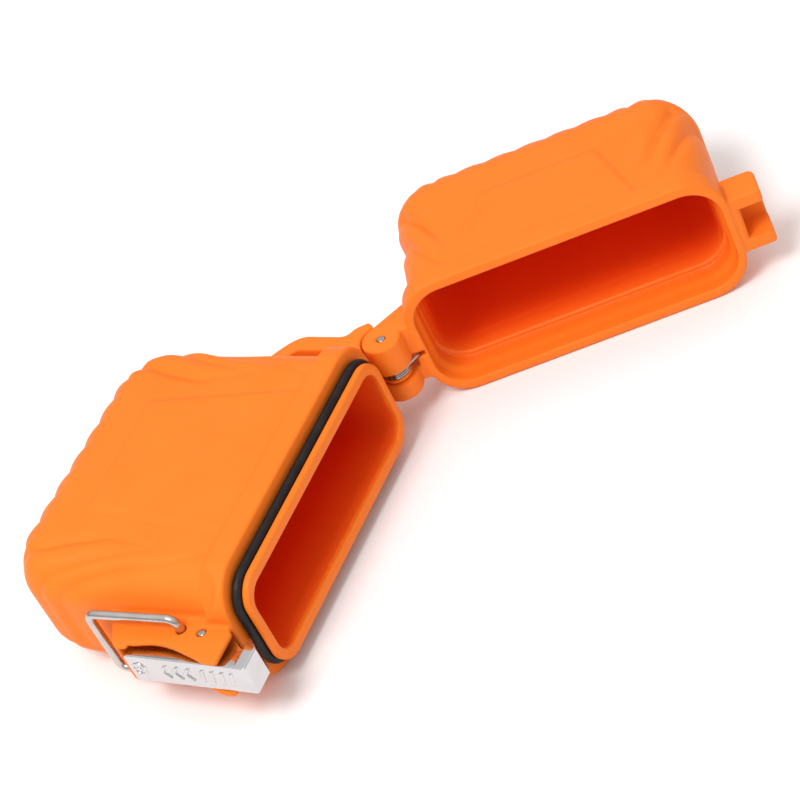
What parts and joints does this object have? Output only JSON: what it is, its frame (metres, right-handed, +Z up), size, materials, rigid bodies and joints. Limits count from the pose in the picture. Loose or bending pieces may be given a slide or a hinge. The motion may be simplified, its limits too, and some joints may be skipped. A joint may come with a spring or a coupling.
{
  "type": "waterproof hinged dry case",
  "caption": "Pocket-size orange dry box: hinged lid, seal ring round the neck, sprung lever latch, wire bail and lanyard arch.",
  "frame": {"origin": "centre of the box's base, under the open case", "axes": "+X from the hinge towards the latch, along the body's mouth; +Y out of the body's mouth; +Z up, through the thickness"},
  "size_m": [0.1688, 0.1392, 0.033],
  "materials": {
    "orange_plastic": "soft-touch matte outside, glossy inside",
    "black_rubber": "matte",
    "chrome_plate": "bright plated",
    "steel_wire": "drawn wire"
  },
  "bodies": {
    "case": {"body_shell": "orange_plastic", "neck_seal": "black_rubber", "hinge_pin": "steel_wire", "hinge_spring": "steel_wire", "latch_pin": "steel_wire", "latch_spring": "steel_wire"},
    "lid": {"lid_shell": "orange_plastic"},
    "latch": {"latch_lever": "chrome_plate"},
    "bail": {"bail_ring": "steel_wire"}
  },
  "joints": [
    {"name": "lid_hinge", "type": "hinge", "parent": "case", "child": "lid", "pos_m": [-0.00794, -0.0076, 0.0165], "axis": [0, 0, 1], "range_deg": [-120.56, 0], "stiffness_Nm_per_rad": 0.012, "springref_deg": 20.05, "deforming": ["hinge_spring"]},
    {"name": "latch_pivot", "type": "hinge", "parent": "case", "child": "latch", "pos_m": [0.07671, -0.01439, 0.0165], "axis": [0, 0, -1], "range_deg": [0, 8], "stiffness_Nm_per_rad": 0.03, "springref_deg": -11.46, "deforming": ["latch_spring"]},
    {"name": "bail_swing", "type": "hinge", "parent": "case", "child": "bail", "pos_m": [0.07656, -0.0196, 0.0165], "axis": [0, 0, 1], "range_deg": [0, 150]}
  ]
}
